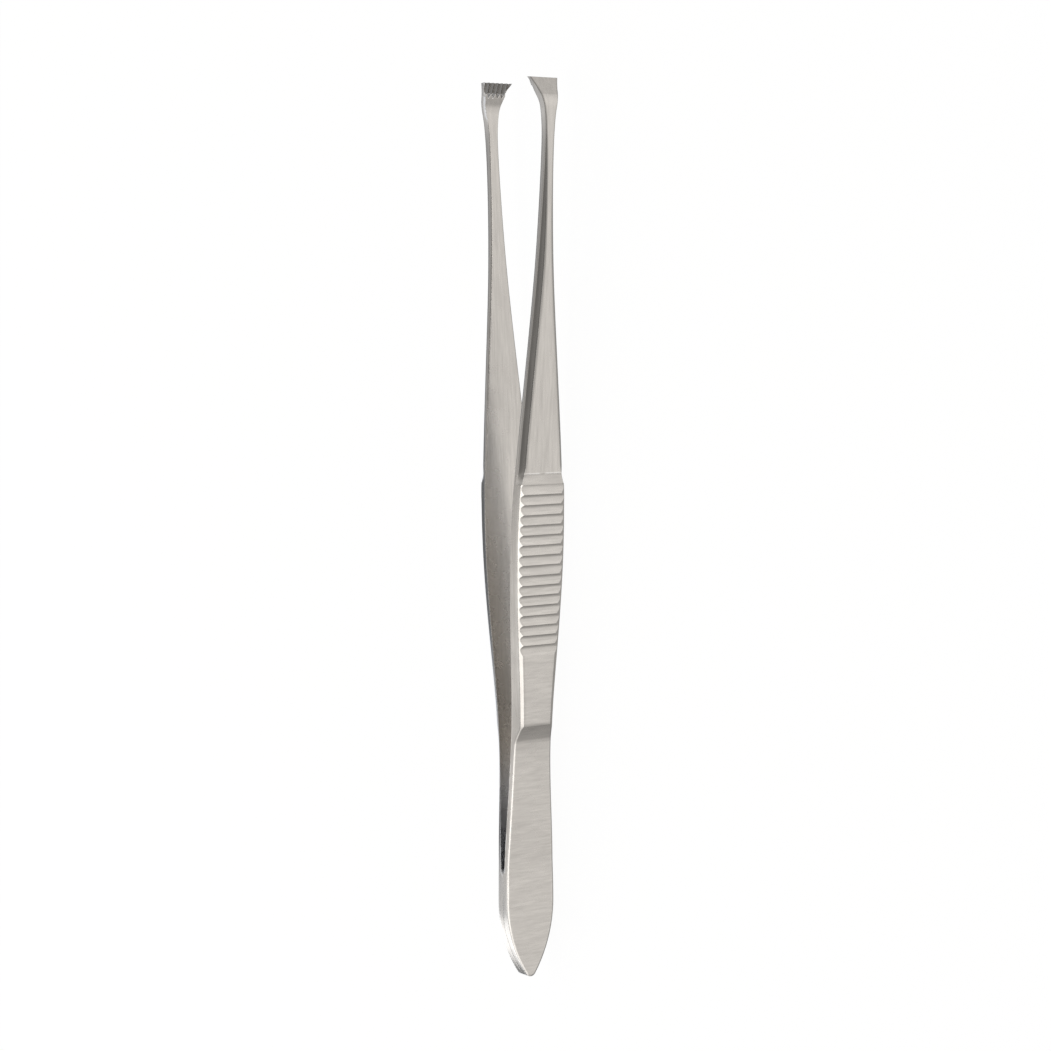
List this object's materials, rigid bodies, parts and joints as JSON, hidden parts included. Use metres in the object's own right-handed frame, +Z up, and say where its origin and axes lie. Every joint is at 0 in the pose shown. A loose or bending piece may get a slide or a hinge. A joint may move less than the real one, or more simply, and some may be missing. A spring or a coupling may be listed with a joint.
{
  "type": "thumb forceps",
  "caption": "Tweezer-like steel forceps: spring leaves joined face to face at the tail, fluted finger grips, slim necks and flared jaws with interlocking teeth.",
  "frame": {"origin": "centre of the bounding box's base: the plane that the forceps lies on, on its leaves' edges", "axes": "X along the forceps from the tail (-X) to the jaws (+X), Y the opening direction of the leaves, Z up, across the width of the leaves"},
  "size_m": [0.11, 0.0132, 0.0075],
  "materials": {
    "front_leaf_steel": "satin brushed stainless steel, brushed across the handle and tail and along the neck",
    "rear_leaf_steel": "satin brushed stainless steel, brushed across the handle and tail and along the neck"
  },
  "bodies": {
    "root": {"front_leaf": "front_leaf_steel", "rear_leaf": "rear_leaf_steel"}
  },
  "joints": []
}
